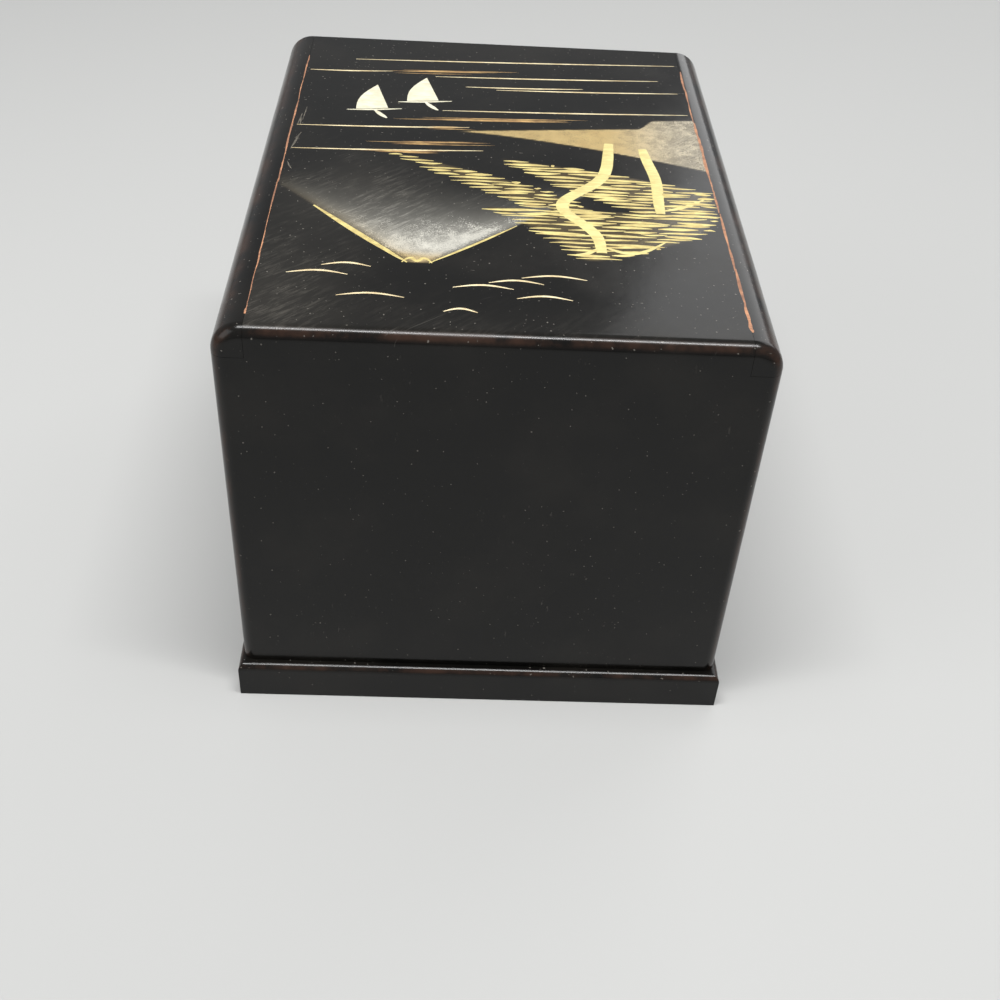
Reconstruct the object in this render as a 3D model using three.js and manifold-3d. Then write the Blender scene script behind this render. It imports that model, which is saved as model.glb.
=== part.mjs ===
// A small two-drawer box of lacquered wood, on a plinth, with a brass ring pull on each drawer.
//
// Millimetres, +Z up. The drawers open towards -Y, and +X is on the right of someone who faces them.
// The origin is on the surface that the box stands on, under the middle of its overall extents.
import * as THREE from "three";
import { mergeVertices } from "three/addons/utils/BufferGeometryUtils.js";
import Module from "manifold-3d";

const wasm = await Module();
wasm.setup();

// Driving dimensions of the case.
const bodyWidth = 100;
const bodyDepth = 128;
const bodyHeight = 83;
const sideThickness = 6;
const topThickness = 6;
const backThickness = 5;
const bottomThickness = 4;
const shelfThickness = 4;
const grooveDepth = 2; // how far the shelf and the bottom are let into the sides
const cornerRadius = 5.8; // where each side turns into the top
const backEdgeRadius = 2.5;
const frontEdgeRadius = 0.8;
const glueGap = 0.05; // between boards that are glued together

// Driving dimensions of the plinth.
const plinthHeight = 8.7;
const plinthProjection = 1; // past the sides
const plinthBackProjection = 2.1;
const plinthFrontProjection = 2;
const plinthRailWidth = 11;
const plinthEdgeRadius = 1.5;

// Driving dimensions of the drawers.
const drawerSideGap = 0.4;
const drawerTopGap = 0.5;
const drawerRunningGap = 0.1; // under the drawer, where it slides
const drawerBackGap = 0.5; // the closed drawer stops against the back of the case
const drawerFrontThickness = 7;
const drawerFrontLip = 3; // what is left of the front in front of the drawer's sides
const drawerWall = 4;
const drawerBottomThickness = 2.5;
const drawerBottomRise = 1.5; // from the sides' lower edge to the bottom
const drawerGroove = 1.5; // how far the bottom is let into the walls

// Driving dimensions of the ring pulls.
const rosetteRadius = 5;
const rosetteThickness = 0.9;
const rosetteHole = 1.5;
const eyeRadius = 1.9; // to the middle of the eye's wire
const eyeWire = 0.6;
const eyeStandOff = 3.2; // from the drawer's face to the middle of the eye
const shankRadius = 1.1;
const shankHole = 1.4; // drilled through the drawer's front
const legLength = 6; // each bent end, from the middle of the shank
const legThickness = 0.9;
const legWidth = 1.6;
const legGap = 0.05;
const ringRadius = 7; // to the middle of the ring's wire
const ringWire = 0.9;
const pullRise = 4; // the eye's height above the middle of the drawer's front

// Numbers of steps in round shapes.
const cornerSteps = 12;
const edgeSteps = 6;
const turnSteps = 32;
const wireSteps = 10;

// Places that follow from the sizes.
const frontReach = Math.max(plinthFrontProjection, eyeStandOff + eyeRadius + eyeWire);
const middleY = (frontReach - plinthBackProjection) / 2; // puts the overall extents' middle at y = 0
const frontY = middleY - bodyDepth / 2;
const backY = middleY + bodyDepth / 2;
const halfWidth = bodyWidth / 2;
const bodyBottom = plinthHeight;
const bodyTop = plinthHeight + bodyHeight;
const bayHalfWidth = halfWidth - sideThickness;
const bayBack = backY - backThickness;
const bayFloor = bodyBottom + bottomThickness;
const bayCeiling = bodyTop - topThickness;
const bayHeight = (bayCeiling - bayFloor - shelfThickness) / 2;
const shelfBottom = bayFloor + bayHeight;
const shelfTop = shelfBottom + shelfThickness;

const lacquer = { color: 0x0b0a09, roughness: 0.22, metalness: 0 };
const redLacquer = { color: 0x5a1b12, roughness: 0.35, metalness: 0 };
const brass = { color: 0xb08d4a, roughness: 0.35, metalness: 1 };

const box = new THREE.Group();
box.name = "two_drawer_box";

// A closed geometry as a solid that can be joined and cut.
function solidOf(geometry) {
  const bare = geometry.index ? geometry.toNonIndexed() : geometry.clone();
  const positions = new THREE.BufferGeometry();
  positions.setAttribute("position", bare.getAttribute("position"));
  const merged = mergeVertices(positions, 1e-4);
  return new wasm.Manifold(
    new wasm.Mesh({
      numProp: 3,
      vertProperties: merged.attributes.position.array,
      triVerts: new Uint32Array(merged.index.array),
    }),
  );
}

// Adds a solid to the model as a named piece.
function addPiece(name, solid, finish) {
  const mesh = solid.getMesh();
  const geometry = new THREE.BufferGeometry();
  geometry.setAttribute("position", new THREE.BufferAttribute(new Float32Array(mesh.vertProperties), 3));
  geometry.setIndex(new THREE.BufferAttribute(new Uint32Array(mesh.triVerts), 1));
  geometry.computeVertexNormals();
  const piece = new THREE.Mesh(geometry, new THREE.MeshStandardMaterial(finish));
  piece.name = name;
  box.add(piece);
}

// A block between two corners; grow makes it larger all round.
function block({ x, y, z }, grow = 0) {
  const size = [x, y, z].map(([low, high]) => high - low + 2 * grow);
  const geometry = new THREE.BoxGeometry(...size);
  geometry.translate((x[0] + x[1]) / 2, (y[0] + y[1]) / 2, (z[0] + z[1]) / 2);
  return solidOf(geometry);
}

// A closed skin through rings of points, each ring with as many points as the others.
function loft(rings) {
  const count = rings[0].length;
  const positions = rings.flat(2);
  const indices = [];
  for (let r = 0; r + 1 < rings.length; r++) {
    for (let i = 0; i < count; i++) {
      const a = r * count + i;
      const b = r * count + ((i + 1) % count);
      indices.push(a, b, b + count, a, b + count, a + count);
    }
  }
  const last = (rings.length - 1) * count;
  for (let i = 1; i + 1 < count; i++) {
    indices.push(0, i + 1, i);
    indices.push(last, last + i, last + i + 1);
  }
  const geometry = new THREE.BufferGeometry();
  geometry.setAttribute("position", new THREE.Float32BufferAttribute(positions, 3));
  geometry.setIndex(indices);
  return solidOf(geometry);
}

// The body's outline seen along Y, drawn in by inset at the sides and the top.
function bodySection(y, inset) {
  const radius = cornerRadius - inset;
  const points = [[-halfWidth + inset, y, bodyBottom]];
  for (const side of [-1, 1]) {
    for (let i = 0; i <= cornerSteps; i++) {
      const turn = (i / cornerSteps) * (Math.PI / 2);
      const angle = side < 0 ? Math.PI - turn : Math.PI / 2 - turn;
      points.push([
        side * (halfWidth - cornerRadius) + radius * Math.cos(angle),
        y,
        bodyTop - cornerRadius + radius * Math.sin(angle),
      ]);
    }
  }
  points.push([halfWidth - inset, y, bodyBottom]);
  return points;
}

// The whole body's outer form: rounded upper corners, and rounded edges at the front and the back.
function bodyForm() {
  const rings = [];
  for (let i = 0; i <= edgeSteps; i++) {
    const angle = (i / edgeSteps) * (Math.PI / 2);
    const inset = frontEdgeRadius * (1 - Math.sin(angle));
    rings.push(bodySection(frontY + frontEdgeRadius * (1 - Math.cos(angle)), inset));
  }
  for (let i = 0; i <= edgeSteps; i++) {
    const angle = (i / edgeSteps) * (Math.PI / 2);
    const inset = backEdgeRadius * (1 - Math.cos(angle));
    rings.push(bodySection(backY - backEdgeRadius * (1 - Math.sin(angle)), inset));
  }
  return loft(rings);
}

const form = bodyForm();

const backBounds = {
  x: [-halfWidth, halfWidth],
  y: [bayBack, backY],
  z: [bodyBottom, bayCeiling],
};
const shelfBounds = {
  x: [-bayHalfWidth - grooveDepth, bayHalfWidth + grooveDepth],
  y: [frontY + frontEdgeRadius, bayBack - glueGap],
  z: [shelfBottom, shelfTop],
};
const bottomBounds = {
  x: shelfBounds.x,
  y: shelfBounds.y,
  z: [bodyBottom, bayFloor],
};

// A side stands on the plinth and reaches the top, with grooves for the shelf and the bottom,
// and a step at the back that the back board fills.
function addSide(name, sign) {
  const faces = [sign * bayHalfWidth, sign * halfWidth].sort((a, b) => a - b);
  const board = block({ x: faces, y: [frontY, backY], z: [bodyBottom, bodyTop] });
  const side = board
    .intersect(form)
    .subtract(block(backBounds, glueGap))
    .subtract(block(shelfBounds, glueGap))
    .subtract(block(bottomBounds, glueGap));
  addPiece(name, side, lacquer);
}

function addCase() {
  addSide("left_side", -1);
  addSide("right_side", 1);
  const topBounds = {
    x: [-bayHalfWidth + glueGap, bayHalfWidth - glueGap],
    y: [frontY, backY],
    z: [bayCeiling, bodyTop],
  };
  addPiece("top_board", block(topBounds).intersect(form).subtract(block(backBounds, glueGap)), lacquer);
  addPiece("back_board", block(backBounds).intersect(form), lacquer);
  addPiece("shelf", block(shelfBounds), lacquer);
  addPiece("bottom_board", block(bottomBounds), lacquer);
}

// The plinth's outline seen from above, drawn in by inset.
function plinthSection(z, inset) {
  const x = halfWidth + plinthProjection - inset;
  const front = frontY - plinthFrontProjection + inset;
  const back = backY + plinthBackProjection - inset;
  return [[-x, front, z], [x, front, z], [x, back, z], [-x, back, z]];
}

// The plinth is a frame of four rails, mitred at its corners, with a rounded upper edge.
function addPlinth() {
  const rings = [plinthSection(0, 0)];
  for (let i = 0; i <= edgeSteps; i++) {
    const angle = (i / edgeSteps) * (Math.PI / 2);
    const height = plinthHeight - glueGap - plinthEdgeRadius * (1 - Math.sin(angle));
    rings.push(plinthSection(height, plinthEdgeRadius * (1 - Math.cos(angle))));
  }
  const outer = loft(rings);
  const [low, , high] = plinthSection(0, plinthRailWidth);
  const hollow = block({ x: [low[0], high[0]], y: [low[1], high[1]], z: [-1, plinthHeight + 1] });
  const frame = outer.subtract(hollow);
  const [outerLow, , outerHigh] = plinthSection(0, 0);
  const rails = {
    plinth_front: [[outerLow[0], outerLow[1]], [outerHigh[0], outerLow[1]], [high[0], low[1]], [low[0], low[1]]],
    plinth_right: [[outerHigh[0], outerLow[1]], [outerHigh[0], outerHigh[1]], [high[0], high[1]], [high[0], low[1]]],
    plinth_back: [[outerHigh[0], outerHigh[1]], [outerLow[0], outerHigh[1]], [low[0], high[1]], [high[0], high[1]]],
    plinth_left: [[outerLow[0], outerHigh[1]], [outerLow[0], outerLow[1]], [low[0], low[1]], [low[0], high[1]]],
  };
  for (const [name, corners] of Object.entries(rails)) {
    const middle = [0, 1].map((axis) => corners.reduce((sum, c) => sum + c[axis], 0) / corners.length);
    const outline = corners.map(([x, y]) => new THREE.Vector2(x, y));
    const wedge = new THREE.ExtrudeGeometry(new THREE.Shape(outline), {
      depth: plinthHeight + 2,
      bevelEnabled: false,
    });
    wedge.translate(-middle[0], -middle[1], -1);
    const along = name === "plinth_front" || name === "plinth_back" ? 0 : 1;
    const shrink = [1, 1, 1];
    const length = along === 0 ? outerHigh[0] - outerLow[0] : outerHigh[1] - outerLow[1];
    shrink[along] = 1 - (2 * glueGap) / length;
    wedge.scale(...shrink);
    wedge.translate(middle[0], middle[1], 0);
    addPiece(name, frame.intersect(solidOf(wedge)), lacquer);
  }
}

// A disc, rod or bush about an axis along Y, from an outline of [radius, y] points.
function turned(outline) {
  const points = outline.map(([radius, y]) => new THREE.Vector2(radius, y));
  return solidOf(new THREE.LatheGeometry(points, turnSteps));
}

function moved(solid, x, y, z) {
  return solid.translate([x, y, z]);
}

function rosette() {
  const dome = rosetteThickness;
  return turned([
    [rosetteHole, 0],
    [rosetteHole, -dome],
    [rosetteRadius * 0.62, -dome],
    [rosetteRadius * 0.82, -dome * 0.72],
    [rosetteRadius, -dome * 0.3],
    [rosetteRadius, 0],
    [rosetteHole, 0],
  ]);
}

// The eye that holds the ring, its shank through the drawer's front, and its ends bent flat inside.
function staple() {
  const eye = new THREE.TorusGeometry(eyeRadius, eyeWire, wireSteps, turnSteps);
  eye.rotateY(Math.PI / 2);
  eye.translate(0, -eyeStandOff, 0);
  const shankLength = eyeStandOff - eyeRadius + drawerFrontThickness + legGap + legThickness;
  const shank = new THREE.CylinderGeometry(shankRadius, shankRadius, shankLength, turnSteps);
  shank.translate(0, -eyeStandOff + eyeRadius + shankLength / 2, 0);
  const legs = block({
    x: [-legWidth / 2, legWidth / 2],
    y: [drawerFrontThickness + legGap, drawerFrontThickness + legGap + legThickness],
    z: [-legLength, legLength],
  });
  return solidOf(eye).add(solidOf(shank)).add(legs);
}

function ring() {
  const wire = new THREE.TorusGeometry(ringRadius, ringWire, wireSteps, turnSteps + 8);
  wire.rotateX(Math.PI / 2);
  wire.translate(0, -eyeStandOff, -ringRadius);
  return solidOf(wire);
}

// One drawer in the bay whose floor is at floor: a front with a step at each end for the sides,
// a back between the sides, and a bottom let into all four.
function addDrawer(name, floor) {
  const low = floor + drawerRunningGap;
  const high = floor + bayHeight - drawerTopGap;
  const half = bayHalfWidth - drawerSideGap;
  const back = bayBack - drawerBackGap;
  const front = {
    x: [-half, half],
    y: [frontY, frontY + drawerFrontThickness],
    z: [low, high],
  };
  const sides = [-1, 1].map((sign) => ({
    x: [sign * half, sign * (half - drawerWall)].sort((a, b) => a - b),
    y: [frontY + drawerFrontLip, back],
    z: [low, high],
  }));
  const backWall = {
    x: [-half + drawerWall + glueGap, half - drawerWall - glueGap],
    y: [back - drawerWall, back],
    z: [low, high],
  };
  const bottom = {
    x: [-half + drawerWall - drawerGroove, half - drawerWall + drawerGroove],
    y: [frontY + drawerFrontThickness - drawerGroove, back - drawerWall + drawerGroove],
    z: [low + drawerBottomRise, low + drawerBottomRise + drawerBottomThickness],
  };
  const pullZ = (low + high) / 2 + pullRise;
  const drilled = new THREE.CylinderGeometry(shankHole, shankHole, drawerFrontThickness + 2, turnSteps);
  drilled.translate(0, frontY + drawerFrontThickness / 2, pullZ);
  let face = block(front).subtract(block(bottom, glueGap)).subtract(solidOf(drilled));
  for (const side of sides) face = face.subtract(block(side, glueGap));
  const slot = block(bottom, glueGap);
  addPiece(name + "_front", face, lacquer);
  addPiece(name + "_side_left", block(sides[0]).subtract(slot), redLacquer);
  addPiece(name + "_side_right", block(sides[1]).subtract(slot), redLacquer);
  addPiece(name + "_back", block(backWall).subtract(slot), redLacquer);
  addPiece(name + "_bottom", block(bottom), redLacquer);
  addPiece(name + "_rosette", moved(rosette(), 0, frontY - glueGap, pullZ), brass);
  addPiece(name + "_staple", moved(staple(), 0, frontY, pullZ), brass);
  addPiece(name + "_ring", moved(ring(), 0, frontY, pullZ), brass);
}

addCase();
addPlinth();
addDrawer("lower_drawer", bayFloor);
addDrawer("upper_drawer", shelfTop);

export default box;
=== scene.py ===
# A small two-drawer box of black lacquer with a painted top, seen from behind and above.
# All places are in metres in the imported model's frame: +Z up, the drawers open towards -Y.
import math
import random

import bmesh
import bpy
import numpy as np
from mathutils import Matrix, Vector


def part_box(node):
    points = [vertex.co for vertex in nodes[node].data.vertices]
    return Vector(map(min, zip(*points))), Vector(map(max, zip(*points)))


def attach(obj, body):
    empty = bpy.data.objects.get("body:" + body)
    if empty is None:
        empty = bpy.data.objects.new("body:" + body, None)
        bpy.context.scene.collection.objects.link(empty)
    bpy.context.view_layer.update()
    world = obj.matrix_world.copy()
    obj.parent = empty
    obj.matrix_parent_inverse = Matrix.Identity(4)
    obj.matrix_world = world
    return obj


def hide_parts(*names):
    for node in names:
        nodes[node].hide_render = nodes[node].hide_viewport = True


mm = 0.001

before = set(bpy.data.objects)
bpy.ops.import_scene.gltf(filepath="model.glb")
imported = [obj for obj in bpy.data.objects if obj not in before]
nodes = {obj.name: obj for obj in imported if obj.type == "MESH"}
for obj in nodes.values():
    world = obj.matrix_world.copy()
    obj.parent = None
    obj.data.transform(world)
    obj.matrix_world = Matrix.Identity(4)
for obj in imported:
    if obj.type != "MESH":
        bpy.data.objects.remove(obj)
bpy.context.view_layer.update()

topLow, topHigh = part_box("top_board")
backLow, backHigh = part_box("back_board")
leftLow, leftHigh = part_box("left_side")
rightLow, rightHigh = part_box("right_side")
frontY, backY = topLow.y, topHigh.y
bodyBottom, bodyTop = leftLow.z, topHigh.z
halfWidth = rightHigh.x


# Camera, lamps and floor

cameraView = {
    "place": (8.36, 250.4, 216.1),  # mm
    "right": (-0.9986, 0.0100, 0.0511),
    "forward": (-0.0411, -0.7534, -0.6563),
    "lens": 46.75,  # on a square frame 36 mm wide
}

lamps = {
    "topStrip": {"place": (0, 0.12, 0.85), "size": (0.66, 0.30), "watts": 3.4},
    "edgeStrip": {"place": (0, 0.16, 0.87), "size": (0.70, 0.06), "watts": 5.2},
    "frontFill": {"place": (-0.5, -0.7, 0.5), "size": (0.7, 0.6), "watts": 2.2},
    "sideFill": {"place": (0.7, 0.35, 0.45), "size": (0.5, 0.5), "watts": 1.4},
}

studio = {"floor": (0.50, 0.50, 0.49, 1), "world": (0.86, 0.88, 0.9, 1), "worldStrength": 0.38}


def makeStudio():
    camera = bpy.data.objects.new("camera", bpy.data.cameras.new("camera"))
    camera.data.sensor_width = 36
    camera.data.lens = cameraView["lens"]
    camera.data.clip_start = 0.01
    forward = Vector(cameraView["forward"]).normalized()
    right = Vector(cameraView["right"])
    right = (right - right.dot(forward) * forward).normalized()
    up = right.cross(forward)
    turn = Matrix((right, up, -forward)).transposed().to_4x4()
    camera.matrix_world = Matrix.Translation(Vector(cameraView["place"]) * mm) @ turn
    bpy.context.scene.collection.objects.link(camera)
    bpy.context.scene.camera = camera

    for name, lamp in lamps.items():
        data = bpy.data.lights.new(name, "AREA")
        data.shape = "RECTANGLE"
        data.size, data.size_y = lamp["size"]
        data.energy = lamp["watts"]
        light = bpy.data.objects.new(name, data)
        light.location = lamp["place"]
        aim = Vector((0, 0, 0.05)) - Vector(lamp["place"])
        light.rotation_euler = aim.to_track_quat("-Z", "Y").to_euler()
        bpy.context.scene.collection.objects.link(light)

    world = bpy.data.worlds.new("studio")
    world.use_nodes = True
    shade = world.node_tree.nodes["Background"]
    shade.inputs["Color"].default_value = studio["world"]
    shade.inputs["Strength"].default_value = studio["worldStrength"]
    bpy.context.scene.world = world
    bpy.context.scene.view_settings.view_transform = "Standard"

    size = 4.0
    mesh = bpy.data.meshes.new("floor")
    corners = [(-size, -size, 0), (size, -size, 0), (size, size, 0), (-size, size, 0)]
    mesh.from_pydata(corners, [], [(0, 1, 2, 3)])
    floor = bpy.data.objects.new("floor", mesh)
    bpy.context.scene.collection.objects.link(floor)
    material, tree, surface = newMaterial("paleFloor")
    surface.inputs["Base Color"].default_value = studio["floor"]
    surface.inputs["Roughness"].default_value = 0.9
    surface.inputs["Specular IOR Level"].default_value = 0.1
    mesh.materials.append(material)
    print("studio made")


# Helpers for materials

def newMaterial(name):
    material = bpy.data.materials.new(name)
    material.use_nodes = True
    tree = material.node_tree
    tree.nodes.clear()
    output = tree.nodes.new("ShaderNodeOutputMaterial")
    surface = tree.nodes.new("ShaderNodeBsdfPrincipled")
    tree.links.new(surface.outputs[0], output.inputs[0])
    return material, tree, surface


def plug(tree, socket, value):
    if isinstance(value, bpy.types.NodeSocket):
        tree.links.new(value, socket)
    else:
        socket.default_value = value


def add(tree, kind, inputs, output=0, **settings):
    node = tree.nodes.new("ShaderNode" + kind)
    for key, value in settings.items():
        setattr(node, key, value)
    for key, value in inputs.items():
        plug(tree, node.inputs[key], value)
    return node.outputs[output]


def maths(tree, operation, a, b=0.0, clamp=False):
    return add(tree, "Math", {0: a, 1: b}, operation=operation, use_clamp=clamp)


def band(tree, value, low, high):
    return add(tree, "MapRange", {0: value, 1: low, 2: high}, interpolation_type="SMOOTHSTEP")


def mixColour(tree, amount, a, b):
    return add(tree, "Mix", {0: amount, 6: a, 7: b}, output=2, data_type="RGBA")


def mixValue(tree, amount, a, b):
    return add(tree, "Mix", {0: amount, 2: a, 3: b}, data_type="FLOAT")


def noise(tree, place, scale, detail=3.0, rough=0.55):
    return add(tree, "TexNoise", {"Vector": place, "Scale": scale, "Detail": detail, "Roughness": rough})


# Turns the coordinates, then draws the pattern out along each axis by lengths
def stretched(tree, place, turn, lengths):
    inputs = {"Vector": place, "Rotation": (0, 0, turn), "Scale": lengths}
    return add(tree, "Mapping", inputs, vector_type="TEXTURE")


def objectPlace(tree):
    return tree.nodes.new("ShaderNodeTexCoord").outputs["Object"]


# 1 where the surface turns from one flat face to the next
def edgeAmount(tree):
    normal = tree.nodes.new("ShaderNodeTexCoord").outputs["Normal"]
    parts = tree.nodes.new("ShaderNodeSeparateXYZ")
    tree.links.new(normal, parts.inputs[0])
    x, y, z = (maths(tree, "ABSOLUTE", parts.outputs[i]) for i in range(3))
    largest = maths(tree, "MAXIMUM", maths(tree, "MAXIMUM", x, y), z)
    return band(tree, largest, 0.985, 0.80)


# Materials

lacquerLook = {
    "black": (0.0036, 0.0034, 0.0030, 1),
    "haze": (0.0085, 0.0075, 0.0062, 1),
    "worn": (0.075, 0.036, 0.022, 1),
    "dust": (0.26, 0.24, 0.21, 1),
    "roughness": 0.13,
    "hazeRoughness": 0.22,
    "hazeSize": 45.0,
    "scratchTurn": 0.9,
    "specular": 0.28,
}


def lacquerShade(tree, look):
    place = objectPlace(tree)
    haze = band(tree, noise(tree, place, look["hazeSize"], 5.0, 0.6), 0.42, 0.72)
    fine = noise(tree, place, 700.0, 2.0)
    scratchPlace = stretched(tree, place, -look["scratchTurn"], (1, 30, 5))
    scratch = band(tree, noise(tree, scratchPlace, 1500.0, 2.0, 0.7), 0.69, 0.76)
    crossPlace = stretched(tree, place, 0.5 * look["scratchTurn"], (25, 1, 3))
    cross = band(tree, noise(tree, crossPlace, 1300.0, 2.0, 0.7), 0.71, 0.78)
    scratch = maths(tree, "MAXIMUM", scratch, cross)
    patch = band(tree, noise(tree, place, 28.0, 3.0), 0.46, 0.66)
    scratch = maths(tree, "MULTIPLY", scratch, patch)
    specks = band(tree, noise(tree, place, 1900.0, 0.0), 0.80, 0.84)
    wearNoise = band(tree, noise(tree, place, 130.0, 5.0, 0.65), 0.36, 0.66)
    wear = maths(tree, "MULTIPLY", edgeAmount(tree), wearNoise)
    colour = mixColour(tree, haze, look["black"], look["haze"])
    colour = mixColour(tree, maths(tree, "MULTIPLY", wear, 0.42), colour, look["worn"])
    marks = maths(tree, "MAXIMUM", specks, maths(tree, "MULTIPLY", scratch, 0.30))
    colour = mixColour(tree, maths(tree, "MULTIPLY", marks, 0.5), colour, look["dust"])
    roughness = mixValue(tree, haze, look["roughness"], look["hazeRoughness"])
    roughness = maths(tree, "ADD", roughness, maths(tree, "MULTIPLY", scratch, 0.2))
    roughness = maths(tree, "ADD", roughness, maths(tree, "MULTIPLY", wear, 0.04), True)
    ripple = noise(tree, place, 110.0, 2.0)
    height = maths(tree, "ADD", maths(tree, "MULTIPLY", ripple, 1.0), maths(tree, "MULTIPLY", fine, 0.12))
    height = maths(tree, "SUBTRACT", height, maths(tree, "MULTIPLY", scratch, 0.10))
    bump = {"Strength": 0.30, "Distance": 0.00012, "Height": height}
    normal = add(tree, "Bump", bump)
    return place, colour, roughness, normal


def blackLacquer(name="blackLacquer", look=lacquerLook):
    material, tree, surface = newMaterial(name)
    place, colour, roughness, normal = lacquerShade(tree, look)
    plug(tree, surface.inputs["Base Color"], colour)
    plug(tree, surface.inputs["Roughness"], roughness)
    plug(tree, surface.inputs["Normal"], normal)
    surface.inputs["Specular IOR Level"].default_value = look["specular"]
    return material


# The top's lacquer with its sprinkled dust, which follows the mesh's own dust and gilt attributes
def sprinkledLacquer():
    material, tree, surface = newMaterial("sprinkledLacquer")
    place, colour, roughness, normal = lacquerShade(tree, lacquerLook)
    scuff = add(tree, "Attribute", {}, output=2, attribute_name="scuff")
    rubbed = noise(tree, stretched(tree, place, -0.8, (1, 8, 1)), 1200.0, 5.0, 0.8)
    cloud = band(tree, noise(tree, place, 75.0, 3.0), 0.35, 0.65)
    smear = maths(tree, "MULTIPLY", band(tree, rubbed, 0.44, 0.68), cloud)
    scuff = maths(tree, "MULTIPLY", scuff, maths(tree, "ADD", 0.25, maths(tree, "MULTIPLY", smear, 0.75)))
    colour = mixColour(tree, scuff, colour, (0.085, 0.078, 0.066, 1))
    roughness = maths(tree, "ADD", roughness, maths(tree, "MULTIPLY", scuff, 0.25))
    dust = add(tree, "Attribute", {}, output=2, attribute_name="dust")
    gilt = add(tree, "Attribute", {}, output=2, attribute_name="gilt")
    grains = noise(tree, place, 4200.0, 2.0, 0.7)
    clumps = noise(tree, place, 420.0, 3.0, 0.6)
    grain = maths(tree, "ADD", maths(tree, "MULTIPLY", grains, 0.62), maths(tree, "MULTIPLY", clumps, 0.38))
    threshold = maths(tree, "SUBTRACT", 0.74, maths(tree, "MULTIPLY", dust, 0.36))
    shown = band(tree, maths(tree, "SUBTRACT", grain, threshold), 0.0, 0.10)
    shown = maths(tree, "MULTIPLY", shown, band(tree, dust, 0.02, 0.12))
    streaks = maths(tree, "ADD", 0.60, maths(tree, "MULTIPLY", smear, 0.6))
    powder = maths(tree, "MULTIPLY", maths(tree, "POWER", dust, 1.6), streaks)
    shown = maths(tree, "MAXIMUM", shown, powder, True)
    tint = mixColour(tree, noise(tree, place, 300.0), (0.50, 0.48, 0.42, 1), (0.74, 0.72, 0.64, 1))
    gold = mixColour(tree, noise(tree, place, 350.0), (0.40, 0.28, 0.12, 1), (0.62, 0.47, 0.21, 1))
    tint = mixColour(tree, gilt, tint, gold)
    plug(tree, surface.inputs["Base Color"], mixColour(tree, shown, colour, tint))
    plug(tree, surface.inputs["Metallic"], maths(tree, "MULTIPLY", shown, 0.35))
    plug(tree, surface.inputs["Roughness"], mixValue(tree, shown, roughness, 0.45))
    plug(tree, surface.inputs["Normal"], normal)
    surface.inputs["Specular IOR Level"].default_value = lacquerLook["specular"]
    return material


def redLacquer():
    material, tree, surface = newMaterial("redLacquer")
    place = objectPlace(tree)
    grainPlace = stretched(tree, place, 0, (1, 16, 1))
    grain = noise(tree, grainPlace, 420.0, 4.0, 0.6)
    cloud = noise(tree, place, 40.0, 4.0)
    colour = mixColour(tree, cloud, (0.150, 0.022, 0.014, 1), (0.235, 0.042, 0.024, 1))
    colour = mixColour(tree, band(tree, grain, 0.55, 0.75), colour, (0.095, 0.016, 0.011, 1))
    wear = maths(tree, "MULTIPLY", edgeAmount(tree), band(tree, noise(tree, place, 160.0, 4.0), 0.45, 0.65))
    colour = mixColour(tree, maths(tree, "MULTIPLY", wear, 0.7), colour, (0.30, 0.12, 0.06, 1))
    plug(tree, surface.inputs["Base Color"], colour)
    plug(tree, surface.inputs["Roughness"], mixValue(tree, cloud, 0.30, 0.46))
    bump = {"Strength": 0.25, "Distance": 0.0001, "Height": grain}
    plug(tree, surface.inputs["Normal"], add(tree, "Bump", bump))
    return material


def agedBrass():
    material, tree, surface = newMaterial("agedBrass")
    place = objectPlace(tree)
    cloud = noise(tree, place, 260.0, 5.0, 0.65)
    spots = band(tree, noise(tree, place, 900.0, 3.0), 0.56, 0.70)
    colour = mixColour(tree, band(tree, cloud, 0.35, 0.68), (0.66, 0.46, 0.17, 1), (0.30, 0.18, 0.07, 1))
    colour = mixColour(tree, maths(tree, "MULTIPLY", spots, 0.6), colour, (0.10, 0.065, 0.035, 1))
    plug(tree, surface.inputs["Base Color"], colour)
    surface.inputs["Metallic"].default_value = 1.0
    plug(tree, surface.inputs["Roughness"], mixValue(tree, cloud, 0.22, 0.52))
    bump = {"Strength": 0.3, "Distance": 0.00008, "Height": cloud}
    plug(tree, surface.inputs["Normal"], add(tree, "Bump", bump))
    return material


def paint(name, light, deep, metallic, roughness):
    material, tree, surface = newMaterial(name)
    place = objectPlace(tree)
    brushed = noise(tree, stretched(tree, place, 0, (4, 1, 1)), 1500.0, 4.0, 0.7)
    patchy = noise(tree, place, 260.0, 4.0)
    amount = maths(tree, "ADD", maths(tree, "MULTIPLY", brushed, 0.6), maths(tree, "MULTIPLY", patchy, 0.4))
    plug(tree, surface.inputs["Base Color"], mixColour(tree, band(tree, amount, 0.38, 0.62), deep, light))
    surface.inputs["Metallic"].default_value = metallic
    plug(tree, surface.inputs["Roughness"], mixValue(tree, patchy, roughness - 0.08, roughness + 0.12))
    return material


# Helpers for meshes

def link(piece):
    bpy.context.scene.collection.objects.link(piece)
    return piece


def newPiece(name, mesh, material, smoothUnder=35):
    mesh.shade_smooth()
    mesh.set_sharp_from_angle(angle=math.radians(smoothUnder))
    mesh.materials.clear()
    mesh.materials.append(material)
    return link(bpy.data.objects.new(name, mesh))


def meshOf(name, points, faces):
    mesh = bpy.data.meshes.new(name)
    mesh.from_pydata(points, [], faces)
    mesh.validate()
    return mesh


def settle(piece, body, slot, *replaced):
    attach(piece, body)
    if replaced:
        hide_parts(*replaced)


def bake(piece):
    graph = bpy.context.evaluated_depsgraph_get()
    mesh = bpy.data.meshes.new_from_object(piece.evaluated_get(graph))
    old = piece.data
    piece.modifiers.clear()
    piece.data = mesh
    bpy.data.meshes.remove(old)


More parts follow.
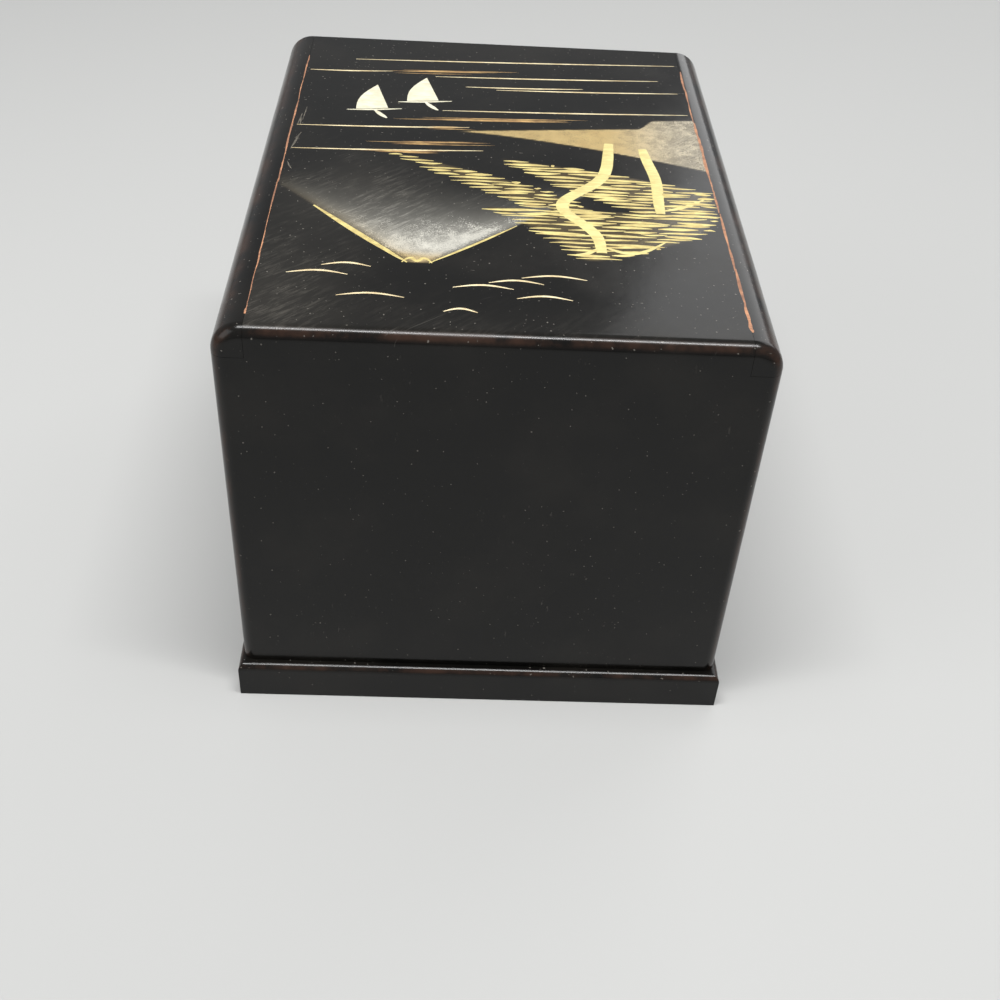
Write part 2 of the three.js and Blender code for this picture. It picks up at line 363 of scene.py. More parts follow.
def weighted(piece):
    modifier = piece.modifiers.new("weightedNormals", "WEIGHTED_NORMAL")
    modifier.keep_sharp = True
    modifier.weight = 80


def subtractBoxes(piece, boxes):
    cutters = []
    for low, high in boxes:
        corners = [(x, y, z) for x in (low.x, high.x) for y in (low.y, high.y) for z in (low.z, high.z)]
        faces = [(0, 1, 3, 2), (4, 6, 7, 5), (0, 4, 5, 1), (2, 3, 7, 6), (0, 2, 6, 4), (1, 5, 7, 3)]
        cutter = link(bpy.data.objects.new("cutter", meshOf("cutter", corners, faces)))
        cut = piece.modifiers.new("cut", "BOOLEAN")
        cut.operation = "DIFFERENCE"
        cut.solver = "EXACT"
        cut.object = cutter
        cutters.append(cutter)
    bake(piece)
    for cutter in cutters:
        bpy.data.objects.remove(cutter)


# The case

shell = {
    "cornerRadius": 5.8 * mm,
    "backEdgeRadius": 2.5 * mm,
    "frontEdgeRadius": 0.8 * mm,
    "cornerSteps": 30,
    "edgeSteps": 14,
    "glueGap": 0.05 * mm,
    "gridStep": 0.5 * mm,  # of the painted top
}


def quarter(steps):
    return [i / steps * math.pi / 2 for i in range(steps + 1)]


def caseOutline(y, inset):
    radius = shell["cornerRadius"] - inset
    centreX = halfWidth - shell["cornerRadius"]
    centreZ = bodyTop - shell["cornerRadius"]
    points = [(-halfWidth + inset, y, bodyBottom)]
    for side in (-1, 1):
        for turn in quarter(shell["cornerSteps"]):
            angle = math.pi - turn if side < 0 else math.pi / 2 - turn
            points.append((side * centreX + radius * math.cos(angle), y, centreZ + radius * math.sin(angle)))
    points.append((halfWidth - inset, y, bodyBottom))
    return points


def caseForm():
    rings = []
    for turn in quarter(shell["edgeSteps"]):
        radius = shell["frontEdgeRadius"]
        rings.append(caseOutline(frontY + radius * (1 - math.cos(turn)), radius * (1 - math.sin(turn))))
    for turn in quarter(shell["edgeSteps"]):
        radius = shell["backEdgeRadius"]
        rings.append(caseOutline(backY - radius * (1 - math.sin(turn)), radius * (1 - math.cos(turn))))
    count = len(rings[0])
    faces = []
    for r in range(len(rings) - 1):
        for i in range(count):
            j = (i + 1) % count
            faces.append((r * count + i, (r + 1) * count + i, (r + 1) * count + j, r * count + j))
    faces.append(tuple(range(count)))
    faces.append(tuple((len(rings) - 1) * count + i for i in reversed(range(count))))
    return [p for ring in rings for p in ring], faces


# Removes what lies on the side that normal points to, and closes the cut
def cutAway(solid, place, normal):
    everything = solid.verts[:] + solid.edges[:] + solid.faces[:]
    cut = bmesh.ops.bisect_plane(
        solid, geom=everything, plane_co=place, plane_no=normal, clear_outer=True, dist=1e-8
    )
    edges = [e for e in cut["geom_cut"] if isinstance(e, bmesh.types.BMEdge)]
    bmesh.ops.edgenet_fill(solid, edges=edges)


def caseBoard(node, planes, grooves, material):
    points, faces = caseForm()
    mesh = meshOf(node + "_lacquered", points, faces)
    solid = bmesh.new()
    solid.from_mesh(mesh)
    bmesh.ops.recalc_face_normals(solid, faces=solid.faces[:])
    for place, normal in planes:
        cutAway(solid, place, normal)
    bmesh.ops.recalc_face_normals(solid, faces=solid.faces[:])
    solid.to_mesh(mesh)
    solid.free()
    piece = link(bpy.data.objects.new(node + "_lacquered", mesh))
    gap = Vector((shell["glueGap"],) * 3)
    if grooves:
        subtractBoxes(piece, [(low - gap, high + gap) for low, high in (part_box(g) for g in grooves)])
    piece.data.shade_smooth()
    piece.data.set_sharp_from_angle(angle=math.radians(35))
    piece.data.materials.clear()
    piece.data.materials.append(material)
    weighted(piece)
    settle(piece, "case", "black_lacquer", node)


def topBoard(material):
    frontRadius, backRadius = shell["frontEdgeRadius"], shell["backEdgeRadius"]
    profile = [(frontY, topLow.z)]
    for turn in quarter(shell["edgeSteps"]):
        lean = frontRadius * (1 - math.cos(turn))
        profile.append((frontY + lean, bodyTop - frontRadius * (1 - math.sin(turn))))
    flatLength = backY - backRadius - frontY - frontRadius
    steps = round(flatLength / shell["gridStep"])
    for i in range(1, steps):
        profile.append((frontY + frontRadius + flatLength * i / steps, bodyTop))
    for turn in quarter(shell["edgeSteps"]):
        y = backY - backRadius + backRadius * math.sin(turn)
        profile.append((y, bodyTop - backRadius + backRadius * math.cos(turn)))
    profile.append((backY, topLow.z))
    width = topHigh.x - topLow.x
    columns = round(width / shell["gridStep"])
    points = []
    for i in range(columns + 1):
        x = topLow.x + width * i / columns
        points += [(x, y, z) for y, z in profile]
    count = len(profile)
    faces = []
    for i in range(columns):
        for j in range(count):
            k = (j + 1) % count
            faces.append((i * count + j, (i + 1) * count + j, (i + 1) * count + k, i * count + k))
    faces.append(tuple(range(count)))
    faces.append(tuple(columns * count + j for j in reversed(range(count))))
    mesh = meshOf("top_board_painted", points, faces)
    dust, gilt = dustOn(np.array(points)[:, :2] / mm)
    upper = np.array(points)[:, 2] > bodyTop - 0.5 * mm
    mesh.attributes.new("dust", "FLOAT", "POINT").data.foreach_set("value", (dust * upper).astype(np.float32))
    mesh.attributes.new("gilt", "FLOAT", "POINT").data.foreach_set("value", gilt.astype(np.float32))
    scuff = scuffOn(np.array(points)[:, :2] / mm) * upper
    mesh.attributes.new("scuff", "FLOAT", "POINT").data.foreach_set("value", scuff.astype(np.float32))
    solid = bmesh.new()
    solid.from_mesh(mesh)
    bmesh.ops.recalc_face_normals(solid, faces=solid.faces[:])
    solid.to_mesh(mesh)
    solid.free()
    piece = newPiece("top_board_painted", mesh, material)
    settle(piece, "case", "black_lacquer", "top_board")


plinth = {"edgeRadius": 1.5 * mm, "edgeSteps": 12, "railWidth": 11 * mm, "mitreGap": 0.05 * mm}


def plinthRails(material):
    low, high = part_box("plinth_front")
    backRailLow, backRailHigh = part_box("plinth_back")
    reachX, reachFront, reachBack, height = high.x, low.y, backRailHigh.y, high.z
    radius = plinth["edgeRadius"]
    profile = [(plinth["railWidth"], 0), (0, 0)]
    for turn in quarter(plinth["edgeSteps"]):
        profile.append((radius * (1 - math.cos(turn)), height - radius * (1 - math.sin(turn))))
    profile.append((plinth["railWidth"], height))

    def corner(k, inset, z):
        x = reachX - inset
        front, back = reachFront + inset, reachBack - inset
        sideX, y = ((-x, front), (x, front), (x, back), (-x, back))[k]
        return Vector((sideX, y, z))

    for k, node in enumerate(("plinth_front", "plinth_right", "plinth_back", "plinth_left")):
        first = [corner(k, inset, z) for inset, z in profile]
        last = [corner((k + 1) % 4, inset, z) for inset, z in profile]
        gap = (last[1] - first[1]).normalized() * plinth["mitreGap"]
        points = [p + gap for p in first] + [p - gap for p in last]
        count = len(profile)
        faces = [(j, (j + 1) % count, count + (j + 1) % count, count + j) for j in range(count)]
        faces += [tuple(reversed(range(count))), tuple(range(count, 2 * count))]
        mesh = meshOf(node + "_lacquered", points, faces)
        solid = bmesh.new()
        solid.from_mesh(mesh)
        bmesh.ops.recalc_face_normals(solid, faces=solid.faces[:])
        solid.to_mesh(mesh)
        solid.free()
        piece = newPiece(node + "_lacquered", mesh, material)
        weighted(piece)
        settle(piece, "case", "black_lacquer", node)


# A copy of a CAD board with its edges eased
def easedBoard(node, body, slot, material, width):
    mesh = nodes[node].data.copy()
    solid = bmesh.new()
    solid.from_mesh(mesh)
    bmesh.ops.remove_doubles(solid, verts=solid.verts[:], dist=1e-6)
    bmesh.ops.dissolve_limit(
        solid, angle_limit=math.radians(2), verts=solid.verts[:], edges=solid.edges[:]
    )
    solid.to_mesh(mesh)
    solid.free()
    piece = newPiece(node + "_eased", mesh, material)
    bevel = piece.modifiers.new("easedEdges", "BEVEL")
    bevel.width = width
    bevel.segments = 3
    bevel.limit_method = "ANGLE"
    bevel.angle_limit = math.radians(50)
    bevel.use_clamp_overlap = True
    bake(piece)
    piece.data.shade_smooth()
    piece.data.set_sharp_from_angle(angle=math.radians(35))
    weighted(piece)
    settle(piece, body, slot, node)


# The ring pulls

pull = {
    "petals": 16,
    "ringRadius": 7 * mm,
    "ringWire": 0.9 * mm,
    "eyeStandOff": 3.2 * mm,
    "rosetteRadius": 5 * mm,
    "rosetteThickness": 0.9 * mm,
}


def petalRing():
    tree = bpy.data.node_groups.new("petalRing", "GeometryNodeTree")
    face = tree.interface
    face.new_socket("Geometry", in_out="INPUT", socket_type="NodeSocketGeometry")
    count = face.new_socket("Petal Count", in_out="INPUT", socket_type="NodeSocketInt")
    finish = face.new_socket("Finish", in_out="INPUT", socket_type="NodeSocketMaterial")
    face.new_socket("Geometry", in_out="OUTPUT", socket_type="NodeSocketGeometry")
    new = tree.nodes.new
    inlet, outlet = new("NodeGroupInput"), new("NodeGroupOutput")
    points, index, step = new("GeometryNodePoints"), new("GeometryNodeInputIndex"), new("ShaderNodeMath")
    angle, turn = new("ShaderNodeMath"), new("ShaderNodeCombineXYZ")
    copies, real, dress = (
        new("GeometryNodeInstanceOnPoints"),
        new("GeometryNodeRealizeInstances"),
        new("GeometryNodeSetMaterial"),
    )
    step.operation = "DIVIDE"
    step.inputs[0].default_value = 2 * math.pi
    angle.operation = "MULTIPLY"
    join = tree.links.new
    join(inlet.outputs["Petal Count"], points.inputs["Count"])
    join(inlet.outputs["Petal Count"], step.inputs[1])
    join(index.outputs[0], angle.inputs[0])
    join(step.outputs[0], angle.inputs[1])
    join(angle.outputs[0], turn.inputs["Y"])
    join(points.outputs[0], copies.inputs["Points"])
    join(inlet.outputs["Geometry"], copies.inputs["Instance"])
    join(turn.outputs[0], copies.inputs["Rotation"])
    join(copies.outputs[0], real.inputs[0])
    join(real.outputs[0], dress.inputs["Geometry"])
    join(inlet.outputs["Finish"], dress.inputs["Material"])
    join(dress.outputs[0], outlet.inputs[0])
    return tree, count.identifier, finish.identifier


def petalMesh():
    reach, thickness, count = pull["rosetteRadius"], pull["rosetteThickness"], pull["petals"]
    half = math.tan(math.pi / count)
    rows, columns = 10, 6
    points = []
    for face in (0, 1):
        for i in range(rows + 1):
            along = i / rows
            distance = reach * (0.3 + 0.67 * along)
            swell = math.sqrt(max(0.0, 1 - max(0.0, (along - 0.72) / 0.28) ** 2))
            for j in range(columns + 1):
                across = 2 * j / columns - 1
                width = distance * half * 0.98 * max(swell, 0.04)
                crown = thickness * (0.45 + 0.5 * (1 - across * across)) * (1 - 0.45 * along)
                depth = 0 if face else -crown * max(0.3, swell)
                points.append((across * width, depth, distance))
    size = (rows + 1) * (columns + 1)
    faces = []
    for face in (0, 1):
        for i in range(rows):
            for j in range(columns):
                a = face * size + i * (columns + 1) + j
                b = a + columns + 1
                faces.append((a, a + 1, b + 1, b))
    rim = [j for j in range(columns + 1)]
    rim += [i * (columns + 1) + columns for i in range(1, rows + 1)]
    rim += [rows * (columns + 1) + j for j in reversed(range(columns))]
    rim += [i * (columns + 1) for i in reversed(range(1, rows))]
    for a, b in zip(rim, rim[1:] + rim[:1]):
        faces.append((a, b, size + b, size + a))
    mesh = meshOf("petal", points, faces)
    solid = bmesh.new()
    solid.from_mesh(mesh)
    bmesh.ops.recalc_face_normals(solid, faces=solid.faces[:])
    solid.to_mesh(mesh)
    solid.free()
    return mesh


def torus(radius, wire, place, axis, around=96, across=20):
    points, faces = [], []
    for i in range(around):
        u = 2 * math.pi * i / around
        for j in range(across):
            v = 2 * math.pi * j / across
            out = radius + wire * math.cos(v)
            flat = (out * math.cos(u), out * math.sin(u), wire * math.sin(v))
            x, y, z = flat if axis == "Z" else (flat[0], flat[2], flat[1])
            points.append((x + place[0], y + place[1], z + place[2]))
    for i in range(around):
        for j in range(across):
            a, b = i * across, ((i + 1) % around) * across
            k = (j + 1) % across
            faces.append((a + j, b + j, b + k, a + k))
    return points, faces


def ringPull(drawer, ringBody, material, petals):
    low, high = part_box(drawer + "_rosette")
    middleZ = (low.z + high.z) / 2
    faceY = high.y
    tree, countSocket, finishSocket = petals
    rosette = link(bpy.data.objects.new(drawer + "_rosette_chased", petalMesh()))
    modifier = rosette.modifiers.new("petals", "NODES")
    modifier.node_group = tree
    modifier[countSocket] = pull["petals"]
    modifier[finishSocket] = material
    bake(rosette)
    boss = [(0.25, 0), (0.25, 1.0), (0.34, 1.0), (0.40, 0.86), (0.44, 0.62), (0.44, 0)]
    turns = 48
    solid = bmesh.new()
    solid.from_mesh(rosette.data)
    rings = []
    for share, rise in boss:
        radius = share * pull["rosetteRadius"] * 1.2
        depth = -rise * pull["rosetteThickness"]
        ring = []
        for i in range(turns):
            angle = 2 * math.pi * i / turns
            ring.append(solid.verts.new((radius * math.cos(angle), depth, radius * math.sin(angle))))
        rings.append(ring)
    fresh = []
    for first, second in zip(rings, rings[1:] + rings[:1]):
        for i in range(turns):
            j = (i + 1) % turns
            fresh.append(solid.faces.new((first[i], first[j], second[j], second[i])))
    bmesh.ops.recalc_face_normals(solid, faces=fresh)
    bmesh.ops.translate(solid, verts=solid.verts[:], vec=(0, faceY, middleZ))
    solid.to_mesh(rosette.data)
    solid.free()
    rosette.data.shade_smooth()
    rosette.data.set_sharp_from_angle(angle=math.radians(40))
    rosette.data.materials.clear()
    rosette.data.materials.append(material)
    settle(rosette, drawer, "brass", drawer + "_rosette")

    lowRing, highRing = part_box(drawer + "_ring")
    centre = (0, (lowRing.y + highRing.y) / 2, (lowRing.z + highRing.z) / 2)
    points, faces = torus(pull["ringRadius"], pull["ringWire"], centre, "Y")
    mesh = meshOf(drawer + "_ring_worn", points, faces)
    solid = bmesh.new()
    solid.from_mesh(mesh)
    bmesh.ops.recalc_face_normals(solid, faces=solid.faces[:])
    solid.to_mesh(mesh)
    solid.free()
    ring = newPiece(drawer + "_ring_worn", mesh, material, 60)
    settle(ring, ringBody, "brass", drawer + "_ring")

    staple = nodes[drawer + "_staple"].data.copy()
    solid = bmesh.new()
    solid.from_mesh(staple)
    bmesh.ops.remove_doubles(solid, verts=solid.verts[:], dist=1e-6)
    solid.to_mesh(staple)
    solid.free()
    piece = newPiece(drawer + "_staple_bent", staple, material, 42)
    settle(piece, drawer, "brass", drawer + "_staple")


# The painting on the top, in mm: its foot is towards the drawers, so it is upside down from behind.
# Each figure has a few whole numbers, and its outline is worked out from them.

painting = {
    "seed": 7,
    "edgeX": 44,  # where the joints run, left and right
    "peak": (15, 42),
    "crestHalf": 2,
    "leftSpread": 0.95,
    "rightSpread": 1.1,
    "mountainFoot": 14,
    "shoreTip": (10, -13),
    "shoreRise": 0.12,
    "shoreFall": 0.036,
    "islandX": -31,
    "islandRise": 4,
    "needleRow": 1.3,
    "mistSlant": 0.055,
    "mistHalf": 0.27,
    "birdBow": -1.2,
}

# Masses of needles: between which heights, then each side's two ends and its bulge between them
needleMasses = [
    {"heights": (-3, 22), "left": (25, -9, 0), "right": (24, -22, -6)},
    {"heights": (-1, 21), "left": (0, -29, 3), "right": (-2, -46, -18)},
    {"heights": (20, 39), "left": (4, -15, -2), "right": (-44, -20, -6)},
]

# Height at the left end, then the left and right ends
mistRows = [
    (-49, 33, -43),
    (-42, 43, 24),
    (-41, 14, -38),
    (-36, 7, -20),
    (-35, 0, -42),
    (-23, 12, -43),
    (-13, 43, 6),
    (-2, 43, 3),
]

# Left end, right end, height and half the sheaf's breadth
bronzeRows = [
    (25, -6, -43, 0.6),
    (25, -23, -18, 0.5),
    (28, -2, -6, 0.5),
    (20, 2, -14, 0.4),
    (30, 10, -2, 0.4),
]

# Middle and length
birds = [
    (33, 47, 11),
    (28, 44, 9),
    (23, 54, 12),
    (3, 50, 11),
    (-3, 48, 10),
    (-10, 46, 12),
    (-8, 53, 10),
    (7, 58, 6),
]

trunks = [
    {"foot": (-24, -10), "length": 46, "lean": 0.1, "bend": 9, "bendAt": 28, "bendLength": 8, "half": 1.3},
    {"foot": (-31, -8), "length": 28, "lean": -0.04, "bend": -1, "bendAt": 14, "bendLength": 8, "half": 1.2},
]

# Both ends and the bow
branches = [
    ((-32, 19), (-42, 13), 1),
    ((-19, 33), (-32, 31), 4),
    ((-19, 34), (-14, 37), 1),
]

sails = {"places": ((31, -22), (20, -27)), "height": 13, "foot": 7, "tipX": -4, "bow": 1.4, "thickness": 0.05}


def eased(low, high, value):
    share = np.clip((value - low) / (high - low), 0, 1)
    return share * share * (3 - 2 * share)


# Points from one place to another, bowed along y
def bowed(start, end, bow, steps=4):
    points = []
    for i in range(steps + 1):
        share = i / steps
        x = start[0] + (end[0] - start[0]) * share
        y = start[1] + (end[1] - start[1]) * share
        points.append((x, y + bow * math.sin(math.pi * share)))
    return points


# The mountain's left edge for side 1, its right one for side -1
def flankX(side, y):
    x, top = painting["peak"]
    spread = painting["leftSpread"] if side > 0 else painting["rightSpread"]
    return x + side * (painting["crestHalf"] + (top - y) * spread)


# How thickly dust lies at each point of the top, and how much of it is gold
def dustOn(points):
    x, y = points[:, 0], points[:, 1]
    footed = np.maximum(y, painting["mountainFoot"])
    left, right = flankX(1, footed), flankX(-1, footed)
    inside = np.minimum(left - x, x - right)
    slope = np.exp(-np.clip(inside, 0, None) / 6.0) * eased(-0.5, 0.6, inside)
    nearPeak = np.exp(-(((x - 12) / 13) ** 2 + ((y - 36) / 14) ** 2))
    body = (0.28 + 0.42 * nearPeak) * eased(0, 3, inside)
    mountain = np.clip(0.62 * slope + body, 0, 0.95) * (0.15 + 0.85 * eased(6, 34, y)) * eased(4, 16, y)
    mountain = np.where(y > painting["peak"][1], 0, mountain)
    tipX, tipY = painting["shoreTip"]
    reach = np.clip(tipX - x, 0, None)
    upper = tipY - painting["shoreRise"] * reach
    upper = upper - painting["islandRise"] * eased(0, 4, painting["islandX"] - x)
    lower = tipY + painting["shoreFall"] * reach ** 1.5
    depth = np.minimum(y - upper, lower - y)
    shore = eased(-0.2, 0.4, depth) * (1.0 - 0.30 * eased(-24, -44, x)) * (x < tipX)
    needles = np.zeros_like(x)
    for first, last, low, high in needleBands(y):
        within = np.minimum(first - x, x - last)
        needles = np.maximum(needles, 0.34 * eased(0, 2.5, within) * (y > low) * (y < high))
    dust = np.maximum.reduce([mountain, shore, needles])
    flank = np.exp(-np.clip(left - x, 0, None) / 3.0) * 0.7 + eased(37, 41, y) * 0.8
    grey = 1 - 0.55 * eased(-22, -42, x)
    gilt = np.where(shore >= mountain, grey, np.where(needles >= mountain, 1, np.clip(flank, 0, 0.9)))
    return np.clip(dust, 0, 1), np.clip(gilt, 0, 1)


# The bands that the needles fill at height y: left and right ends, and between which heights
def needleBands(y):
    bands = []
    for mass in needleMasses:
        low, high = mass["heights"]
        share = np.clip((y - low) / (high - low), 0, 1)
        sides = []
        for first, last, bulge in (mass["left"], mass["right"]):
            sides.append(first + (last - first) * share + bulge * np.sin(np.pi * share))
        bands.append((sides[0], np.maximum(sides[1], 0.5 - painting["edgeX"]), low, high))
    return bands


# Where the top is rubbed dull: over the mountain, towards the left and along the back edge
def scuffOn(points):
    x, y = points[:, 0], points[:, 1]
    mountain = np.exp(-(((x - 27) / 15) ** 2 + ((y - 17) / 13) ** 2))
    leftCorner = np.exp(-(((x - 40) / 12) ** 2 + ((y - 52) / 22) ** 2)) * 0.6
    backEdge = eased(52, 63, y) * 0.15
    return np.clip(mountain * 0.75 + leftCorner + backEdge + 0.04, 0, 1)


# Each stroke below is a list of points, its half width in mm and, for some, how blunt its ends are
def mistLines():
    strokes = []
    for height, left, right in mistRows:
        end = (right, height - painting["mistSlant"] * (left - right))
        strokes.append((bowed((left, height), end, 0.3), painting["mistHalf"]))
    for x, y, length in birds:
        ends = (x + length / 2, y), (x - length / 2, y)
        strokes.append((bowed(*ends, painting["birdBow"]), painting["mistHalf"]))
    return strokes


def mountainStrokes():
    x, top = painting["peak"]
    strokes = []
    for side, depth, half in ((1, 20, 0.6), (1, 9, 0.4), (-1, 15, 0.3)):
        ends = [(flankX(side, top - down), top - down) for down in (0, depth)]
        strokes.append((bowed(*ends, 0.3), half))
    crest = [(x + 3 - 1.4 * i, top - 2.5 * (i % 2)) for i in range(5)]
    strokes.append((crest, 0.4))
    return strokes


def boatStrokes():
    strokes = []
    for x, y in sails["places"]:
        strokes.append((bowed((x + 2, y + 0.5), (x - 10, y - 1), 0.2), 0.37))
        strokes.append((bowed((x - 4, y), (x - 7, y + 4), 0.2), 0.55))
    return strokes


def trunkStrokes():
    strokes = []
    steps = 12
    for trunk in trunks:
        footX, footY = trunk["foot"]
        points = []
        for i in range(steps + 1):
            rise = trunk["length"] * i / steps
            offBend = (rise - trunk["bendAt"]) / trunk["bendLength"]
            sway = trunk["bend"] * math.exp(-offBend * offBend)
            points.append((footX + trunk["lean"] * rise + sway, footY + rise))
        strokes.append((points, trunk["half"], 0.75))
    for start, end, bow in branches:
        strokes.append((bowed(start, end, bow), 0.5))
    return strokes


# An open joint beside an edge: short worn lengths that run into each other
def jointWear(x, least, most):
    draw = random.Random(painting["seed"] + x)
    strokes = []
    y = -50.0
    while y < 60:
        end = min(y + draw.uniform(5, 13), 61)
        points = [(x + draw.uniform(-0.14, 0.14), y + (end - y) * i / 3) for i in range(4)]
        strokes.append((points, draw.uniform(least, most), 0.4))
        y = end - draw.uniform(-0.3, 2.0)
    return strokes


# Short scrapes beside the left joint
def scrapes():
    draw = random.Random(painting["seed"] + 3)
    strokes = []
    for i in range(7):
        x = painting["edgeX"] - draw.uniform(0.4, 2.4)
        y = draw.uniform(-34, 6)
        end = (x - draw.uniform(-1.2, 1.2), y + draw.uniform(3, 7))
        strokes.append((bowed((x, y), end, 0.4), draw.uniform(0.08, 0.15)))
    return strokes


# Long, nearly level strokes, row after row, with gaps here and there
def needleStrokes():
    draw = random.Random(painting["seed"])
    strokes = []
    y = -2.4
    while y < 39:
        for first, last, low, high in needleBands(y):
            if not low <= y <= high:
                continue
            x = float(first) + draw.uniform(-0.8, 1.2)
            while x > last + 1:
                end = max(x - draw.uniform(4.5, 13), float(last) - draw.uniform(-0.5, 0.9))
                lean = draw.uniform(-0.03, 0.05)
                level = y + draw.uniform(-0.30, 0.30)
                third = (x - end) / 3
                points = []
                for i in range(4):
                    points.append((x - third * i, level + lean * third * i + draw.uniform(-0.25, 0.25)))
                strokes.append((points, draw.uniform(0.30, 0.60), 0.2))
                x = end - draw.uniform(-0.6, 1.6)
        y += painting["needleRow"] * draw.uniform(0.85, 1.15)
    return strokes


# A sheaf of fine lines along each bronze row
def sheaves():
    draw = random.Random(painting["seed"] + 1)
    lines = []
    for left, right, height, halfBreadth in bronzeRows:
        for i in range(7):
            shares = (0.5 * draw.uniform(0, 1), 0.5 + 0.5 * draw.uniform(0, 1))
            shift = draw.uniform(-1.6, 1.6) * halfBreadth
            ends = []
            for share in shares:
                run = (left - right) * share
                ends.append((left - run, height + shift - painting["mistSlant"] * run))
            lines.append((bowed(*ends, 0.1), draw.uniform(0.12, 0.22), 0.1))
    return lines


def strokeBrush():
    tree = bpy.data.node_groups.new("strokeBrush", "GeometryNodeTree")
    face = tree.interface
    face.new_socket("Geometry", in_out="INPUT", socket_type="NodeSocketGeometry")
    body = face.new_socket("Paint Body", in_out="INPUT", socket_type="NodeSocketFloat")
    finish = face.new_socket("Finish", in_out="INPUT", socket_type="NodeSocketMaterial")
    face.new_socket("Geometry", in_out="OUTPUT", socket_type="NodeSocketGeometry")
    new = tree.nodes.new
    inlet, outlet = new("NodeGroupInput"), new("NodeGroupOutput")
    upright, flatten = new("GeometryNodeSetCurveNormal"), new("GeometryNodeTransform")
    circle, scale = new("GeometryNodeCurvePrimitiveCircle"), new("ShaderNodeCombineXYZ")
    sweep, real = new("GeometryNodeCurveToMesh"), new("GeometryNodeRealizeInstances")
    dress, breadth = new("GeometryNodeSetMaterial"), new("GeometryNodeInputRadius")
    upright.mode = "Z_UP"
    circle.inputs["Resolution"].default_value = 8
    circle.inputs["Radius"].default_value = 1.0
    scale.inputs["X"].default_value = 1.0
    scale.inputs["Z"].default_value = 1.0
    sweep.inputs["Fill Caps"].default_value = True
    join = tree.links.new
    join(inlet.outputs["Geometry"], upright.inputs[0])
    join(upright.outputs[0], sweep.inputs["Curve"])
    join(inlet.outputs["Paint Body"], scale.inputs["Y"])
    join(circle.outputs[0], flatten.inputs["Geometry"])
    join(scale.outputs[0], flatten.inputs["Scale"])
    join(flatten.outputs[0], sweep.inputs["Profile Curve"])
    join(breadth.outputs[0], sweep.inputs["Scale"])
    join(sweep.outputs[0], real.inputs[0])
    join(real.outputs[0], dress.inputs["Geometry"])
    join(inlet.outputs["Finish"], dress.inputs["Material"])
    join(dress.outputs[0], outlet.inputs[0])
    return tree, body.identifier, finish.identifier


def brushed(name, strokes, material, brush, body=0.14, resolution=4, slot="brass"):
    curve = bpy.data.curves.new(name, "CURVE")
    curve.dimensions = "3D"
    curve.resolution_u = resolution
    for points, halfBreadth, *tip in strokes:
        tip = tip[0] if tip else 0.3
        spline = curve.splines.new("NURBS")
        spline.points.add(len(points) - 1)
        spline.use_endpoint_u = True
        spline.order_u = 3
        for i, (x, y) in enumerate(points):
            share = i / (len(points) - 1)
            spline.points[i].co = (x * mm, y * mm, bodyTop, 1)
            spline.points[i].radius = halfBreadth * mm * (tip + (1 - tip) * math.sin(math.pi * share) ** 0.5)
    piece = link(bpy.data.objects.new(name, curve))
    tree, bodySocket, finishSocket = brush
    modifier = piece.modifiers.new("brush", "NODES")
    modifier.node_group = tree
    modifier[bodySocket] = body
    modifier[finishSocket] = material
    graph = bpy.context.evaluated_depsgraph_get()
    mesh = bpy.data.meshes.new_from_object(piece.evaluated_get(graph))
    bpy.data.objects.remove(piece)
    mesh.name = name
    finished = newPiece(name, mesh, material, 80)
    settle(finished, "case", slot)


# The outer edge bows out from the tip to the foot, and the inner one is straight
def sailOutline(x, y):
    tipX, tipY = x + sails["tipX"], y - sails["height"]
    steps = 8
    outline = []
    for i in range(steps + 1):
        share = i / steps
        bow = sails["bow"] * math.sin(math.pi * share)
        outline.append((tipX + (x - tipX) * share + bow, tipY + (y - tipY) * share))
    outline.append((x - sails["foot"], y - 1))
    return outline


def paintSails(material):
    for name, place in zip(("near", "far"), sails["places"]):
        outline = sailOutline(*place)
        count = len(outline)
        points = [(x * mm, y * mm, bodyTop - 0.02 * mm) for x, y in outline]
        points += [(x * mm, y * mm, bodyTop + sails["thickness"] * mm) for x, y in outline]
        faces = [tuple(range(count)), tuple(reversed(range(count, 2 * count)))]
        faces += [(i, (i + 1) % count, count + (i + 1) % count, count + i) for i in range(count)]
        mesh = meshOf(name + "_sail", points, faces)
        solid = bmesh.new()
        solid.from_mesh(mesh)
        bmesh.ops.recalc_face_normals(solid, faces=solid.faces[:])
        solid.to_mesh(mesh)
        solid.free()
        settle(newPiece(name + "_sail", mesh, material), "case", "brass")


def makeCase(black, sprinkled):
    left, right = Vector((leftHigh.x, 0, 0)), Vector((rightLow.x, 0, 0))
    caseBoard("left_side", [(left, (1, 0, 0))], ("back_board", "shelf", "bottom_board"), black)
    caseBoard("right_side", [(right, (-1, 0, 0))], ("back_board", "shelf", "bottom_board"), black)
    inner, upper = Vector((0, backLow.y, 0)), Vector((0, 0, backHigh.z))
    caseBoard("back_board", [(inner, (0, -1, 0)), (upper, (0, 0, 1))], (), black)
    topBoard(sprinkled)
    plinthRails(black)
    for node in ("shelf", "bottom_board"):
        easedBoard(node, "case", "black_lacquer", black, 0.25 * mm)
    print("case made")


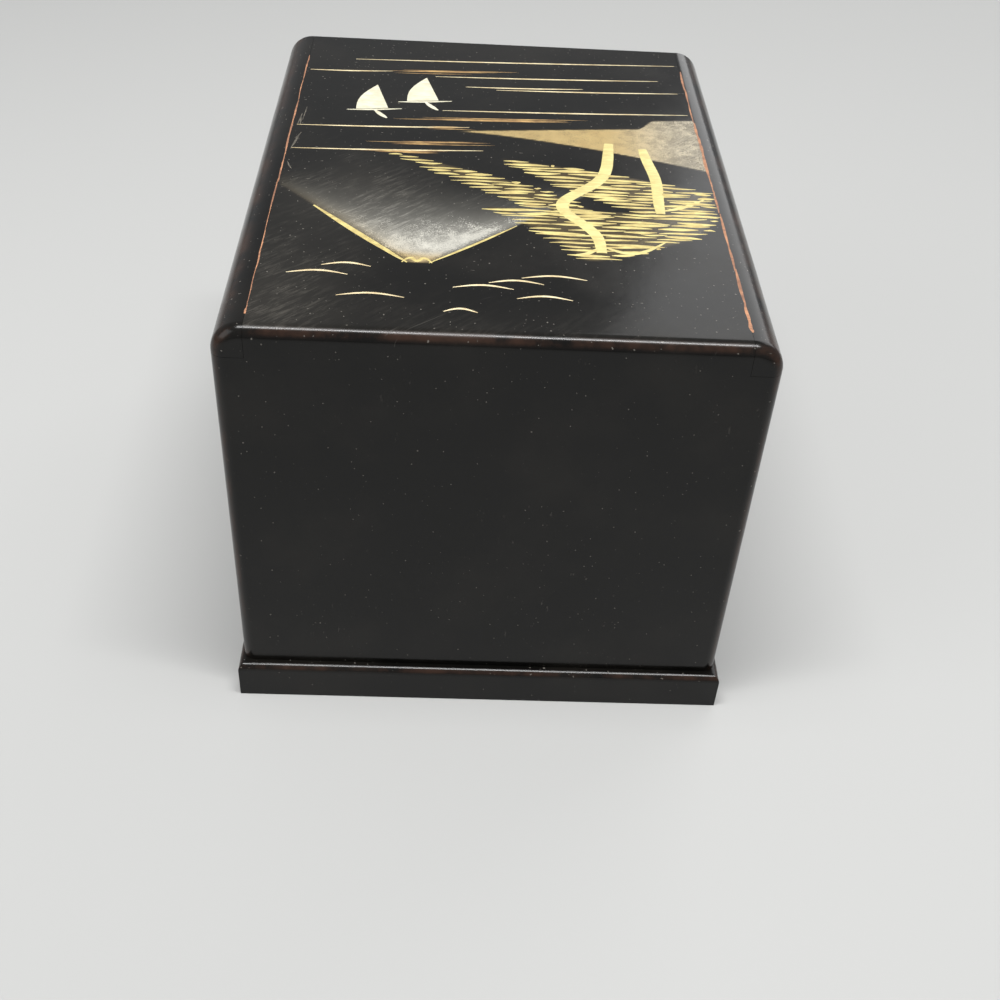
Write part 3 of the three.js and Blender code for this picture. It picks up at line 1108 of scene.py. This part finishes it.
def makeDrawers(black, red, brass):
    petals = petalRing()
    for drawer, ringBody in (("lower_drawer", "lower_ring"), ("upper_drawer", "upper_ring")):
        easedBoard(drawer + "_front", drawer, "black_lacquer", black, 0.5 * mm)
        for part in ("side_left", "side_right", "back", "bottom"):
            easedBoard(drawer + "_" + part, drawer, "red_lacquer", red, 0.35 * mm)
        ringPull(drawer, ringBody, brass, petals)
    print("drawers made")


def makePainting():
    brush = strokeBrush()
    gold = paint("goldPaint", (0.78, 0.66, 0.26, 1), (0.52, 0.40, 0.15, 1), 0.2, 0.45)
    bronze = paint("bronzePaint", (0.62, 0.40, 0.16, 1), (0.30, 0.17, 0.07, 1), 0.35, 0.45)
    pale = paint("paleGold", (0.74, 0.66, 0.28, 1), (0.60, 0.50, 0.20, 1), 0.1, 0.45)
    straw = paint("strawPaint", (0.90, 0.78, 0.50, 1), (0.62, 0.48, 0.26, 1), 0.1, 0.45)
    cream = paint("creamPaint", (0.74, 0.71, 0.56, 1), (0.60, 0.56, 0.40, 1), 0.0, 0.5)
    copper = paint("copperCrack", (0.52, 0.25, 0.13, 1), (0.22, 0.10, 0.06, 1), 0.0, 0.6)
    grey = paint("greyCrack", (0.16, 0.14, 0.11, 1), (0.05, 0.045, 0.035, 1), 0.0, 0.7)
    brushed("mist_lines", mistLines(), straw, brush)
    brushed("bronze_mist", sheaves(), bronze, brush)
    brushed("mountain_strokes", mountainStrokes(), gold, brush, 0.10)
    brushed("pine_needles", needleStrokes(), gold, brush, 0.10)
    brushed("pine_trunks", trunkStrokes(), pale, brush, 0.07)
    brushed("boat_strokes", boatStrokes(), cream, brush, 0.10)
    edgeX = painting["edgeX"]
    brushed("right_joint_wear", jointWear(-edgeX, 0.16, 0.38), copper, brush, 0.06, 8, "black_lacquer")
    brushed("left_joint_wear", jointWear(edgeX, 0.08, 0.20), copper, brush, 0.06, 8, "black_lacquer")
    brushed("edge_scrapes", scrapes(), grey, brush, 0.10, 8, "black_lacquer")
    paintSails(cream)
    print("painting made")


makeStudio()
black = blackLacquer()
makeCase(black, sprinkledLacquer())
makeDrawers(black, redLacquer(), agedBrass())
makePainting()

bpy.context.view_layer.update()
